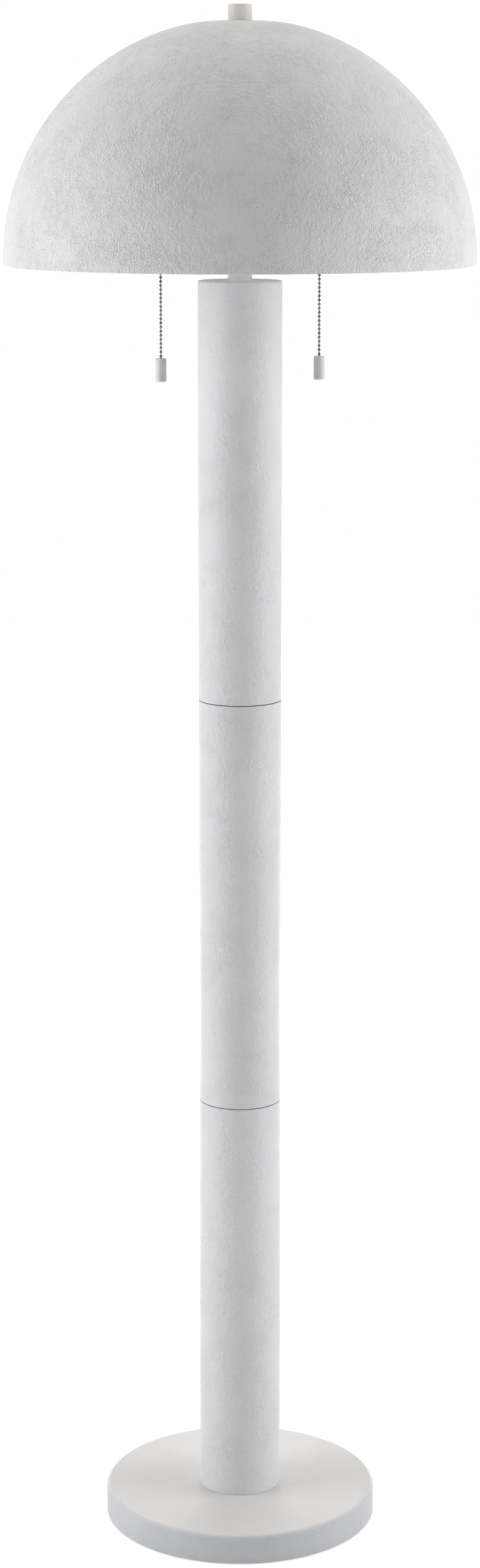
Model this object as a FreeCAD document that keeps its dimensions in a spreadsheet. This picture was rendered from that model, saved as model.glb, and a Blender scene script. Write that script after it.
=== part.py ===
import FreeCAD, Part
import math
import os
import Sketcher

# Mushroom floor lamp: a round weighted base, a stout column in three sections, and a hollow dome over
# a cluster of two pull-chain sockets. The origin is the centre of the underside, +Z is up, +Y is the
# rear, and the two sockets lie along X. All lengths are in mm.

SIZES = {
    # Base
    "base_radius": 137.5,
    "base_height": 30.0,
    "base_wall": 1.5,
    "base_edge_round": 3.5,
    "pad_thickness": 1.0,
    "pad_inset": 5.0,
    "weight_clearance": 0.4,
    "recess_room": 5.0,
    "cord_channel_room": 2.0,
    "bushing_height": 11.0,
    "bushing_radius": 5.0,
    "bushing_bore": 3.0,
    "bushing_flange_radius": 7.0,
    "bushing_flange_thickness": 1.5,
    "bushing_depth": 5.0,
    # Column
    "column_radius": 41.0,
    "column_wall": 1.5,
    "column_top_plate": 3.0,
    "column_top_round": 1.8,
    "seam_edge_round": 0.4,
    "seam_gap": 0.8,
    "seam_inset": 5.0,
    "lower_tube_length": 409.4,
    "middle_tube_length": 409.4,
    "upper_tube_length": 407.8,
    "end_plate_thickness": 8.0,
    # Threaded pipe and its nuts
    "pipe_radius": 5.0,
    "pipe_bore": 3.4,
    "pipe_overhang": 1.5,
    "nut_circumradius": 9.8,
    "nut_height": 4.0,
    "washer_radius": 14.0,
    "washer_thickness": 1.5,
    # Neck between column and dome
    "collar_radius": 12.35,
    "collar_band_height": 3.9,
    "collar_groove_depth": 1.4,
    "collar_groove_height": 0.4,
    "collar_upper_radius": 11.6,
    "collar_height": 17.0,
    "sleeve_radius": 7.0,
    "cluster_rise": 60.0,
    # Cluster
    "cluster_radius": 28.0,
    "cluster_height": 30.0,
    "cluster_wall": 1.5,
    "cluster_round": 4.0,
    "cluster_cap_lip": 3.0,
    "arm_height": 15.0,
    "chain_reach": 77.0,
    # Sockets, measured outwards from the threaded hub of the cap
    "chain_offset": 24.0,
    "cap_radius": 20.0,
    "cap_wall": 0.9,
    "cap_shoulder": 9.0,
    "cap_length": 31.0,
    "hub_radius": 8.0,
    "hub_length": 8.0,
    "shell_overlap": 3.0,
    "shell_length": 40.0,
    "shell_wall": 0.6,
    "shell_lip": 1.2,
    "liner_wall": 0.8,
    "switch_body_end": 36.0,
    "slot_room": 0.5,
    "slot_rise": 12.0,
    "screw_shell_radius": 13.6,
    "screw_shell_wall": 0.4,
    "screw_shell_length": 26.0,
    "contact_radius": 4.0,
    "contact_thickness": 2.0,
    # Bulbs
    "bulb_base_length": 24.0,
    "bulb_base_taper": 6.0,
    "bulb_base_wall": 0.6,
    "bulb_tip_thickness": 1.0,
    "bulb_neck_end": 26.0,
    "bulb_radius": 25.0,
    "bulb_length": 92.0,
    "glass_wall": 0.8,
    # Chain guide and switch lever
    "guide_wall": 1.6,
    "guide_flare": 1.4,
    "guide_flange_thickness": 1.2,
    "guide_length": 13.0,
    "guide_inset": 5.5,
    "pull_stroke": 9.0,
    "lever_arm": 10.0,
    "lever_thickness": 0.5,
    "lever_width": 4.0,
    "lever_notch_depth": 3.4,
    "pin_radius": 0.8,
    "pin_seat": 2.5,
    "spring_wall": 1.1,
    # Ball chains and pulls
    "bead_radius": 1.5,
    "bead_pitch": 4.0,
    "link_radius": 0.45,
    "link_gap": 0.25,
    "top_bead_count": 9,
    "sway_bead_count": 2,
    "swing_bead_count": 14,
    "lower_bead_count": 14,
    "left_pull_drop": 90.6,
    "right_pull_drop": 88.4,
    "pull_radius": 5.35,
    "pull_length": 22.7,
    "pull_round": 0.8,
    "pull_mouth_depth": 0.8,
    "pull_cavity_room": 1.5,
    # Dome
    "rim_rise": 19.2,
    "dome_radius": 228.6,
    "dome_wall": 1.2,
    "dome_skirt": 5.0,
    "crown_round": 165.0,
    "crown_flat_radius": 19.0,
    "seat_radius": 17.0,
    "seat_thickness": 1.6,
    # Finial
    "finial_radius": 11.65,
    "finial_height": 15.4,
    "finial_round": 1.2,
    "finial_engagement": 10.0,
    "finial_bore_room": 1.0,
    "finial_washer_inset": 1.25,
    "finial_washer_thickness": 0.5,
    # Clearances
    "thread_clearance": 0.05,
    "free_clearance": 0.3,
    "contact_clearance": 0.2,
    "bead_clearance": 0.5,
    "bead_lip": 0.25,
}

doc = FreeCAD.newDocument("mushroom_floor_lamp")
sheet = doc.addObject("Spreadsheet::Sheet", "Sizes")
for row, (alias, number) in enumerate(SIZES.items(), start=1):
    sheet.set(f"A{row}", alias)
    sheet.set(f"B{row}", str(number))
    sheet.setAlias(f"B{row}", alias)
doc.recompute()


class Size:
    """A number together with the sheet expression that gives it."""

    def __init__(self, value, text):
        self.value = value
        self.text = text

    def __add__(self, other):
        other = as_size(other)
        return Size(self.value + other.value, f"({self.text} + {other.text})")

    def __sub__(self, other):
        other = as_size(other)
        return Size(self.value - other.value, f"({self.text} - {other.text})")

    def __rsub__(self, other):
        return as_size(other) - self

    def __mul__(self, other):
        other = as_size(other)
        return Size(self.value * other.value, f"({self.text} * {other.text})")

    def __truediv__(self, other):
        other = as_size(other)
        return Size(self.value / other.value, f"({self.text} / {other.text})")

    def __neg__(self):
        return Size(-self.value, f"(0 - {self.text})")

    def root(self):
        return Size(math.sqrt(self.value), f"sqrt({self.text})")


def as_size(number):
    return number if isinstance(number, Size) else Size(float(number), str(number))


class Sheet:
    """Every cell of the sheet as a Size, read as an attribute."""


for alias, number in SIZES.items():
    setattr(Sheet, alias, Size(float(number), f"Sizes.{alias}"))

d = Sheet
ZERO = Size(0.0, "0")


# --- Sketches, turned bodies, primitives and booleans ---------------------------------------------

def bind(thing, path, size):
    thing.setExpression(path, as_size(size).text)


def datum(body, role):
    return next(item for item in body.Origin.OriginFeatures if item.Role == role)


def tie(sketch, edge, end, radius, height):
    """Tie one end of an edge to a radius, a height or both; a missing one is None."""
    for axis, kind, size in ((-2, "DistanceX", radius), (-1, "DistanceY", height)):
        if size is None:
            continue
        if size.text == "0":
            sketch.addConstraint(Sketcher.Constraint("PointOnObject", edge, end, axis))
            continue
        index = sketch.addConstraint(Sketcher.Constraint(kind, -1, 1, edge, end, size.value))
        sketch.setExpression(f"Constraints[{index}]", size.text)


def draw_loop(sketch, corners):
    """Draw a closed loop through (radius, height) corners; a corner (radius, height, centre radius,
    centre height) is reached by the shorter arc round that centre."""
    corners = [tuple(as_size(number) for number in corner) for corner in corners]
    edges = []
    for start, corner in zip([corners[-1]] + corners[:-1], corners):
        here = FreeCAD.Vector(start[0].value, start[1].value, 0)
        there = FreeCAD.Vector(corner[0].value, corner[1].value, 0)
        if len(corner) == 2:
            edges.append((sketch.addGeometry(Part.LineSegment(here, there)), 1, 2))
            continue
        centre = FreeCAD.Vector(corner[2].value, corner[3].value, 0)
        angles = [math.atan2(point.y - centre.y, point.x - centre.x) for point in (here, there)]
        forward = (angles[1] - angles[0]) % math.tau < math.pi
        if not forward:
            angles.reverse()
        circle = Part.Circle(centre, FreeCAD.Vector(0, 0, 1), (there - centre).Length)
        edge = sketch.addGeometry(Part.ArcOfCircle(circle, angles[0], angles[1]))
        edges.append((edge, 1, 2) if forward else (edge, 2, 1))
    for (edge, _, end), (following, start, _) in zip(edges, edges[1:] + edges[:1]):
        sketch.addConstraint(Sketcher.Constraint("Coincident", edge, end, following, start))
    for (edge, _, end), corner in zip(edges, corners):
        radius, height = corner[:2]
        if len(corner) == 2:
            tie(sketch, edge, end, radius, height)
            continue
        tie(sketch, edge, 3, corner[2], corner[3])
        across = abs(radius.value - corner[2].value) > abs(height.value - corner[3].value)
        tie(sketch, edge, end, None if across else radius, height if across else None)


def turn_feature(body, name, corners):
    sketch = body.newObject("Sketcher::SketchObject", name + "_outline")
    sketch.AttachmentSupport = (datum(body, "XZ_Plane"), "")
    sketch.MapMode = "FlatFace"
    draw_loop(sketch, corners)
    feature = body.newObject("PartDesign::Revolution", name + "_turning")
    feature.Profile = sketch
    feature.ReferenceAxis = (sketch, ["V_Axis"])
    feature.Angle = 360
    sketch.Visibility = False
    return feature


def turned(label, corners):
    """A body of revolution about its own Z axis."""
    body = doc.addObject("PartDesign::Body", label)
    turn_feature(body, label, corners)
    return body


def ring(label, outer, inner, height):
    return turned(label, [(inner, ZERO), (outer, ZERO), (outer, height), (inner, height)])


def cylinder(label, radius, height):
    piece = doc.addObject("Part::Cylinder", label)
    bind(piece, "Radius", radius)
    bind(piece, "Height", height)
    return piece


def box(label, length, width, height):
    piece = doc.addObject("Part::Box", label)
    bind(piece, "Length", length)
    bind(piece, "Width", width)
    bind(piece, "Height", height)
    return piece


def cut(label, blank, *tools):
    for number, tool in enumerate(tools, start=1):
        name = label if number == len(tools) else f"{label}_cut_{number}"
        result = doc.addObject("Part::Cut", name)
        result.Base = blank
        result.Tool = tool
        blank = result
    return blank


def group(label, members):
    piece = doc.addObject("Part::Compound", label)
    piece.Links = members
    return piece


UPRIGHT = FreeCAD.Rotation()
TOWARDS_REAR = FreeCAD.Rotation(FreeCAD.Vector(1, 0, 0), -90)
TOWARDS_RIGHT = FreeCAD.Rotation(FreeCAD.Vector(0, 1, 0), 90)
TOWARDS_LEFT = FreeCAD.Rotation(FreeCAD.Vector(0, 0, 1), 180).multiply(TOWARDS_RIGHT)


def place(piece, x=ZERO, y=ZERO, z=ZERO, turn=UPRIGHT):
    piece.Placement = FreeCAD.Placement(FreeCAD.Vector(), turn)
    for axis, size in (("x", x), ("y", y), ("z", z)):
        if size is not ZERO:
            bind(piece, f"Placement.Base.{axis}", size)
    return piece


# --- Levels that several pieces share -------------------------------------------------------------

threaded_bore = d.pipe_radius + d.thread_clearance
free_bore = d.pipe_radius + d.free_clearance
lower_tube_level = d.base_height
lower_seam_level = lower_tube_level + d.lower_tube_length
middle_tube_level = lower_seam_level + d.seam_gap
upper_seam_level = middle_tube_level + d.middle_tube_length
upper_tube_level = upper_seam_level + d.seam_gap
column_top_level = upper_tube_level + d.upper_tube_length
rim_level = column_top_level + d.rim_rise
blend_drop = d.dome_radius - d.crown_round
blend_height = (blend_drop * blend_drop - d.crown_flat_radius * d.crown_flat_radius).root()
crown_height = d.dome_skirt + d.crown_round + blend_height
crown_level = rim_level + crown_height
cluster_level = column_top_level + d.cluster_rise
cluster_cap_level = cluster_level + d.cluster_height
arm_level = cluster_level + d.arm_height
socket_start = d.chain_reach - d.chain_offset
recess_radius = d.washer_radius + d.recess_room
recess_depth = d.washer_thickness + d.nut_height + d.pipe_overhang + d.recess_room
recess_roof_level = d.pad_thickness + recess_depth
guide_bore = d.bead_radius + d.bead_clearance
guide_radius = guide_bore + d.guide_wall
guide_top_drop = d.cap_radius - d.guide_inset
slot_half_width = guide_radius + d.slot_room
pin_length = (slot_half_width + d.pin_seat) * 2
catch_radius = d.bead_radius - d.bead_lip
bead_catch = (d.bead_radius * d.bead_radius - catch_radius * catch_radius).root()
pull_bead_depth = d.pull_mouth_depth + bead_catch + d.free_clearance
lever_sine = d.pull_stroke / (d.lever_arm * 2)
lever_cosine = (1 - lever_sine * lever_sine).root()
lever_offset = d.lever_arm * (lever_cosine + 1) / 2
lever_drop = d.bead_radius + d.contact_clearance
lever_hub_radius = lever_drop + d.lever_thickness + d.contact_clearance


# --- Base -----------------------------------------------------------------------------------------

def make_base_cover():
    """Spun steel cover, open underneath, with the pipe hole and the cord hole in its rear wall."""
    height = d.base_height - d.pad_thickness
    inner_radius = d.base_radius - d.base_wall
    round_radius = d.base_radius - d.base_edge_round
    round_height = height - d.base_edge_round
    blank = turned("base_cover_blank", [
        (inner_radius, ZERO),
        (d.base_radius, ZERO),
        (d.base_radius, round_height),
        (round_radius, height, round_radius, round_height),
        (free_bore, height),
        (free_bore, height - d.base_wall),
        (round_radius, height - d.base_wall),
        (inner_radius, round_height, round_radius, round_height),
    ])
    hole = cylinder("cord_hole", d.bushing_radius + d.contact_clearance,
                    d.base_radius + d.bushing_depth)
    place(hole, z=d.bushing_height - d.pad_thickness, turn=TOWARDS_REAR)
    return place(cut("base_cover", blank, hole), z=d.pad_thickness)


def make_base_weight():
    """Cast-iron disc with a recess for the pipe nut and a channel for the cord."""
    height = d.base_height - d.base_wall - d.weight_clearance - d.pad_thickness
    radius = d.base_radius - d.base_wall - d.weight_clearance
    blank = turned("base_weight_blank", [
        (free_bore, recess_depth),
        (recess_radius, recess_depth),
        (recess_radius, ZERO),
        (radius, ZERO),
        (radius, height - d.base_edge_round),
        (radius - d.base_edge_round, height),
        (free_bore, height),
    ])
    channel_half_width = d.bushing_radius + d.cord_channel_room
    channel_height = d.bushing_height + channel_half_width - d.pad_thickness
    channel = box("cord_channel", channel_half_width * 2, d.base_radius, channel_height)
    place(channel, x=-channel_half_width)
    recess = cylinder("recess_outline", recess_radius, channel_height)
    outer_channel = cut("cord_channel_beyond_recess", channel, recess)
    return place(cut("base_weight", blank, outer_channel), z=d.pad_thickness)


def make_base_fittings():
    pad = ring("base_pad", d.base_radius - d.pad_inset, recess_radius, d.pad_thickness)
    washer = ring("base_washer", d.washer_radius, free_bore, d.washer_thickness)
    place(washer, z=recess_roof_level - d.washer_thickness)
    bottom = recess_roof_level - d.washer_thickness - d.nut_height - d.pipe_overhang
    top = lower_tube_level + d.end_plate_thickness + d.pipe_overhang
    nipple = ring("base_nipple", d.pipe_radius, d.pipe_bore, top - bottom)
    return [pad, washer, place(nipple, z=bottom)]


def make_cord_bushing():
    """Rubber bushing in the rear of the cover; its flange lies outside."""
    flange = d.bushing_flange_thickness
    bushing = turned("cord_bushing", [
        (d.bushing_bore, -d.bushing_depth),
        (d.bushing_radius, -d.bushing_depth),
        (d.bushing_radius, ZERO),
        (d.bushing_flange_radius, ZERO),
        (d.bushing_flange_radius, flange / 2),
        (d.bushing_flange_radius - flange / 2, flange, d.bushing_flange_radius - flange / 2, flange / 2),
        (d.bushing_bore, flange),
    ])
    return place(bushing, y=d.base_radius + d.contact_clearance, z=d.bushing_height, turn=TOWARDS_REAR)


# --- Column ---------------------------------------------------------------------------------------

def make_column_tube(label, level, length, top_round):
    """Steel can: closed at its top by a plate with a pipe hole, open at its bottom."""
    bottom_round = d.seam_edge_round
    top_radius = d.column_radius - top_round
    tube = turned(label, [
        (d.column_radius - d.column_wall, ZERO),
        (d.column_radius - bottom_round, ZERO),
        (d.column_radius, bottom_round, d.column_radius - bottom_round, bottom_round),
        (d.column_radius, length - top_round),
        (top_radius, length, top_radius, length - top_round),
        (free_bore, length),
        (free_bore, length - d.column_top_plate),
        (d.column_radius - d.column_wall, length - d.column_top_plate),
    ])
    return place(tube, z=level)


def make_end_plates():
    """A thick tapped disc closes the bottom of each section."""
    plates = []
    for name, level in (("lower", lower_tube_level), ("middle", middle_tube_level),
                        ("upper", upper_tube_level)):
        radius = d.column_radius - d.column_wall - d.thread_clearance
        plate = ring(f"{name}_end_plate", radius, threaded_bore, d.end_plate_thickness)
        plates.append(place(plate, z=level))
    return group("tube_end_plates", plates)


def make_seam_parts():
    """A thin disc in each seam, and the pipe nipple that draws the two sections together."""
    discs = []
    nipples = []
    for name, level in (("lower", lower_seam_level), ("upper", upper_seam_level)):
        disc = ring(f"{name}_seam_disc", d.column_radius - d.seam_inset, free_bore, d.seam_gap)
        discs.append(place(disc, z=level))
        bottom = level - d.column_top_plate - d.nut_height - d.pipe_overhang
        top = level + d.seam_gap + d.end_plate_thickness + d.pipe_overhang
        nipple = ring(f"{name}_seam_nipple", d.pipe_radius, d.pipe_bore, top - bottom)
        nipples.append(place(nipple, z=bottom))
    return [group("seam_discs", discs), group("joint_nipples", nipples)]


# --- Neck and cluster -----------------------------------------------------------------------------

def make_neck():
    band = d.collar_band_height
    groove_radius = d.collar_radius - d.collar_groove_depth
    groove_top = band + d.collar_groove_height
    edge = d.seam_edge_round
    collar = turned("neck_collar", [
        (threaded_bore, ZERO),
        (d.collar_radius - edge, ZERO),
        (d.collar_radius, edge),
        (d.collar_radius - edge, band),
        (groove_radius, band),
        (groove_radius, groove_top),
        (d.collar_upper_radius, groove_top),
        (d.sleeve_radius, d.collar_height),
        (threaded_bore, d.collar_height),
    ])
    sleeve = ring("riser_sleeve", d.sleeve_radius, free_bore, d.cluster_rise - d.collar_height)
    bottom = column_top_level - d.column_top_plate - d.nut_height - d.pipe_overhang
    top = cluster_level + d.cluster_wall + d.nut_height + d.pipe_overhang
    riser = ring("riser_pipe", d.pipe_radius, d.pipe_bore, top - bottom)
    place(collar, z=column_top_level)
    place(sleeve, z=column_top_level + d.collar_height)
    return [collar, sleeve, place(riser, z=bottom)]


def make_cluster():
    inner_radius = d.cluster_radius - d.cluster_wall
    blank = turned("cluster_body_blank", [
        (free_bore, ZERO),
        (d.cluster_radius - d.cluster_round, ZERO),
        (d.cluster_radius, d.cluster_round, d.cluster_radius - d.cluster_round, d.cluster_round),
        (d.cluster_radius, d.cluster_height),
        (inner_radius, d.cluster_height),
        (inner_radius, d.cluster_round),
        (d.cluster_radius - d.cluster_round, d.cluster_wall,
         d.cluster_radius - d.cluster_round, d.cluster_round),
        (free_bore, d.cluster_wall),
    ])
    arm_hole = cylinder("arm_hole", threaded_bore, d.cluster_radius * 2)
    place(arm_hole, x=-d.cluster_radius, z=d.arm_height, turn=TOWARDS_RIGHT)
    body = place(cut("cluster_body", blank, arm_hole), z=cluster_level)
    lip_radius = inner_radius - d.contact_clearance
    cap = turned("cluster_cap", [
        (free_bore, ZERO),
        (lip_radius - d.cluster_wall, ZERO),
        (lip_radius - d.cluster_wall, -d.cluster_cap_lip),
        (lip_radius, -d.cluster_cap_lip),
        (lip_radius, ZERO),
        (d.cluster_radius, ZERO),
        (d.cluster_radius - d.cluster_wall, d.cluster_wall,
         d.cluster_radius - d.cluster_wall, ZERO),
        (free_bore, d.cluster_wall),
    ])
    return [body, place(cap, z=cluster_cap_level)]


def make_support_rod():
    """Rod from the cluster's cap through the crown into the finial."""
    bottom = cluster_cap_level - d.nut_height - d.pipe_overhang
    top = crown_level + d.finial_washer_thickness + d.finial_engagement
    return place(cylinder("support_rod", d.pipe_radius, top - bottom), z=bottom)


def make_arm_nipples():
    """A short threaded pipe on each side carries a socket."""
    start = d.cluster_radius - d.cluster_wall - d.nut_height
    length = socket_start + d.hub_length - start
    arms = []
    for name, sign, turn in (("right", 1, TOWARDS_RIGHT), ("left", -1, TOWARDS_LEFT)):
        arm = ring(f"{name}_arm", d.pipe_radius, d.pipe_bore, length)
        arms.append(place(arm, x=start * sign, z=arm_level, turn=turn))
    return group("arm_nipples", arms)


def make_pipe_nuts():
    """The lamp's hexagon nuts all fit the one pipe thread."""
    under_crown = crown_level - d.dome_wall - d.seat_thickness
    seats = [
        ("base", ZERO, recess_roof_level - d.washer_thickness - d.nut_height, UPRIGHT),
        ("lower_seam", ZERO, lower_seam_level - d.column_top_plate - d.nut_height, UPRIGHT),
        ("upper_seam", ZERO, upper_seam_level - d.column_top_plate - d.nut_height, UPRIGHT),
        ("neck", ZERO, column_top_level - d.column_top_plate - d.nut_height, UPRIGHT),
        ("cluster_floor", ZERO, cluster_level + d.cluster_wall, UPRIGHT),
        ("under_cap", ZERO, cluster_cap_level - d.nut_height, UPRIGHT),
        ("over_cap", ZERO, cluster_cap_level + d.cluster_wall, UPRIGHT),
        ("crown", ZERO, under_crown - d.nut_height, UPRIGHT),
        ("right_arm", d.cluster_radius, arm_level, TOWARDS_RIGHT),
        ("left_arm", -d.cluster_radius, arm_level, TOWARDS_LEFT),
    ]
    nuts = []
    for name, x, z, turn in seats:
        prism = doc.addObject("Part::Prism", f"{name}_nut_blank")
        prism.Polygon = 6
        bind(prism, "Circumradius", d.nut_circumradius)
        bind(prism, "Height", d.nut_height)
        thread = cylinder(f"{name}_nut_thread", threaded_bore, d.nut_height)
        nuts.append(place(cut(f"{name}_nut", prism, thread), x=x, z=z, turn=turn))
    return group("pipe_nuts", nuts)


# --- Sockets and bulbs ----------------------------------------------------------------------------

def make_socket(side, sign, aim, pull_drop):
    """One pull-chain socket; its own Z axis runs outwards, and its own +X side is underneath."""
    shoulder_radius = d.cap_radius - d.cap_shoulder
    shoulder_height = d.hub_length + d.cap_shoulder
    cap_inner = d.cap_radius - d.cap_wall
    cap_blank = turned(f"{side}_socket_cap_blank", [
        (threaded_bore, ZERO),
        (d.hub_radius, ZERO),
        (d.hub_radius, d.hub_length),
        (shoulder_radius, d.hub_length),
        (d.cap_radius, shoulder_height, shoulder_radius, shoulder_height),
        (d.cap_radius, d.cap_length),
        (cap_inner, d.cap_length),
        (cap_inner, shoulder_height),
        (shoulder_radius, d.hub_length + d.cap_wall, shoulder_radius, shoulder_height),
        (threaded_bore, d.hub_length + d.cap_wall),
    ])
    guide_hole = cylinder(f"{side}_guide_hole", guide_radius + d.thread_clearance, d.cap_radius * 2)
    place(guide_hole, z=d.chain_offset, turn=TOWARDS_RIGHT)
    cap = cut(f"{side}_socket_cap", cap_blank, guide_hole)

    shell_outer = cap_inner - d.thread_clearance
    shell_inner = shell_outer - d.shell_wall
    lip_start = d.shell_length - d.shell_lip
    shell = turned(f"{side}_socket_shell", [
        (shell_inner, ZERO),
        (shell_outer, ZERO),
        (shell_outer, lip_start - d.shell_lip),
        (shell_outer + d.shell_lip, lip_start),
        (shell_outer + d.shell_lip, d.shell_length),
        (shell_inner, d.shell_length),
    ])
    shell_level = d.cap_length - d.shell_overlap
    liner_outer = shell_inner - d.thread_clearance
    liner_inner = liner_outer - d.liner_wall
    liner = ring(f"{side}_socket_liner", liner_outer, liner_inner, lip_start)

    body_radius = liner_inner - d.contact_clearance
    body_start = d.hub_length + d.cap_wall + d.free_clearance
    corner = d.cap_shoulder - d.cap_wall
    body_blank = turned(f"{side}_switch_body_blank", [
        (ZERO, body_start),
        (body_radius - corner, body_start),
        (body_radius, body_start + corner),
        (body_radius, d.switch_body_end),
        (ZERO, d.switch_body_end),
    ])
    slot_start = d.chain_offset - lever_offset - lever_hub_radius - d.slot_room
    slot_end = d.chain_offset + guide_radius + d.slot_room
    slot = box(f"{side}_lever_slot", d.cap_radius + d.slot_rise, slot_half_width * 2,
               slot_end - slot_start)
    place(slot, x=-d.slot_rise, y=-slot_half_width, z=slot_start)
    pin_hole = cylinder(f"{side}_pin_hole", d.pin_radius + d.thread_clearance, pin_length)
    place(pin_hole, x=arm_level - lever_pivot(sign, pull_drop)[1], y=-pin_length / 2,
          z=d.chain_offset - lever_offset, turn=TOWARDS_REAR)
    body = cut(f"{side}_switch_body", body_blank, slot, pin_hole)

    thread_wall = ring(f"{side}_screw_shell", d.screw_shell_radius,
                       d.screw_shell_radius - d.screw_shell_wall, d.screw_shell_length)
    pieces = [(cap, ZERO), (shell, shell_level), (liner, shell_level), (body, ZERO),
              (thread_wall, d.switch_body_end)]
    return [place(piece, x=(socket_start + level) * sign, z=arm_level, turn=aim)
            for piece, level in pieces]


def make_contacts():
    contacts = []
    for name, sign, aim in (("right", 1, TOWARDS_RIGHT), ("left", -1, TOWARDS_LEFT)):
        contact = cylinder(f"{name}_centre_contact", d.contact_radius, d.contact_thickness)
        contacts.append(place(contact, x=(socket_start + d.switch_body_end) * sign, z=arm_level, turn=aim))
    return group("centre_contacts", contacts)


def make_bulb(side, sign, aim):
    """Bulb of a round button contact, a plain screw base and a hollow glass envelope."""
    base_radius = d.screw_shell_radius - d.screw_shell_wall - d.contact_clearance
    skirt = d.bulb_base_taper
    tip = cylinder(f"{side}_bulb_tip", d.contact_radius, d.bulb_tip_thickness)
    base = turned(f"{side}_bulb_base", [
        (ZERO, d.bulb_tip_thickness),
        (d.contact_radius, d.bulb_tip_thickness),
        (base_radius, skirt),
        (base_radius, d.bulb_base_length),
        (base_radius - d.bulb_base_wall, d.bulb_base_length),
        (base_radius - d.bulb_base_wall, skirt),
        (ZERO, skirt),
    ])
    radius = d.bulb_radius
    neck = base_radius - d.bulb_base_wall - d.contact_clearance
    wall = d.glass_wall
    middle = d.bulb_length - radius
    rise = middle - d.bulb_neck_end
    flare = (neck * neck + rise * rise - radius * radius) / ((radius - neck) * 2)
    out_share = (neck + flare) / (radius + flare)
    down_share = rise / (radius + flare)
    inner = radius - wall
    glass_start = skirt + d.free_clearance
    glass = turned(f"{side}_bulb_glass", [
        (neck - wall, glass_start),
        (neck, glass_start),
        (neck, d.bulb_neck_end),
        (radius * out_share, middle - radius * down_share, neck + flare, d.bulb_neck_end),
        (ZERO, d.bulb_length, ZERO, middle),
        (ZERO, middle + inner),
        (inner * out_share, middle - inner * down_share, ZERO, middle),
        (neck - wall, d.bulb_neck_end, neck + flare, d.bulb_neck_end),
    ])
    start = socket_start + d.switch_body_end + d.contact_thickness + d.contact_clearance
    return [place(piece, x=start * sign, z=arm_level, turn=aim) for piece in (tip, base, glass)]


# --- Pull chains ----------------------------------------------------------------------------------

def make_chain_guide(side, sign):
    """Bell-mouthed tube under the socket; its own origin is the mouth."""
    flange_radius = guide_radius + d.guide_flare
    flange_top = d.guide_length - d.guide_inset - d.free_clearance
    guide = turned(f"{side}_chain_guide", [
        (flange_radius - d.guide_wall / 2, ZERO),
        (flange_radius, d.guide_wall / 2),
        (guide_radius, d.guide_wall * 2),
        (guide_radius, flange_top - d.guide_flange_thickness),
        (flange_radius, flange_top - d.guide_flange_thickness),
        (flange_radius, flange_top),
        (guide_radius, flange_top),
        (guide_radius, d.guide_length),
        (guide_bore, d.guide_length),
        (guide_bore, d.guide_wall * 2),
    ])
    mouth_level = arm_level - guide_top_drop - d.guide_length
    return place(guide, x=d.chain_reach * sign, z=mouth_level)


def make_chain_run(label, beads, reaches_next):
    """Beads on one wire, hanging down from the centre of the first bead. A run that hands over to the
    next one ends its wire just short of that run's first bead."""
    wire_length = (beads - 1) * d.bead_pitch
    if reaches_next:
        wire_length = wire_length + d.bead_pitch - d.bead_radius - d.link_gap
    body = doc.addObject("PartDesign::Body", label)
    turn_feature(body, label + "_wire", [
        (ZERO, ZERO),
        (d.link_radius, ZERO),
        (d.link_radius, -wire_length),
        (ZERO, -wire_length),
    ])
    bead = turn_feature(body, label + "_bead", [
        (ZERO, d.bead_radius),
        (d.bead_radius, ZERO, ZERO, ZERO),
        (ZERO, -d.bead_radius, ZERO, ZERO),
    ])
    string = body.newObject("PartDesign::LinearPattern", label + "_string")
    string.Originals = [bead]
    string.Direction = (datum(body, "Z_Axis"), [""])
    string.Reversed = True
    bind(string, "Length", (beads - 1) * d.bead_pitch)
    bind(string, "Occurrences", beads)
    body.Tip = string
    return body


def make_chain(side, sign, pull_drop):
    """Four runs of beads that hang from the switch, listed from the pull upwards."""
    level = rim_level - pull_drop - pull_bead_depth
    pieces = []
    runs = (("lower", d.lower_bead_count, False), ("swing", d.swing_bead_count, True),
            ("sway", d.sway_bead_count, True), ("top", d.top_bead_count, True))
    for name, beads, reaches_next in runs:
        level = level + (beads - 1) * d.bead_pitch
        run = make_chain_run(f"{side}_chain_{name}", beads, reaches_next)
        pieces.append(place(run, x=d.chain_reach * sign, z=level))
        level = level + d.bead_pitch
    return pieces


def make_pull(side, sign, pull_drop):
    """Cylindrical pull; the chain's last bead hangs in the cavity behind its mouth."""
    top_radius = d.pull_radius - d.pull_round
    cavity_radius = d.bead_radius + d.bead_clearance
    cavity_depth = pull_bead_depth + d.bead_radius + d.pull_cavity_room
    pull = turned(f"{side}_pull", [
        (ZERO, -d.pull_length),
        (top_radius, -d.pull_length),
        (d.pull_radius, d.pull_round - d.pull_length, top_radius, d.pull_round - d.pull_length),
        (d.pull_radius, -d.pull_round),
        (top_radius, ZERO, top_radius, -d.pull_round),
        (catch_radius, ZERO),
        (catch_radius, -d.pull_mouth_depth),
        (cavity_radius, -d.pull_mouth_depth),
        (cavity_radius, -cavity_depth),
        (ZERO, -cavity_depth),
    ])
    return place(pull, x=d.chain_reach * sign, z=rim_level - pull_drop)


def lever_pivot(sign, pull_drop):
    """The pivot lies below and inwards of the chain's top bead."""
    beads = d.lower_bead_count + d.swing_bead_count + d.sway_bead_count + d.top_bead_count - 1
    top_bead = rim_level - pull_drop - pull_bead_depth + beads * d.bead_pitch
    return (d.chain_reach - lever_offset) * sign, top_bead - d.pull_stroke / 2


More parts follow.
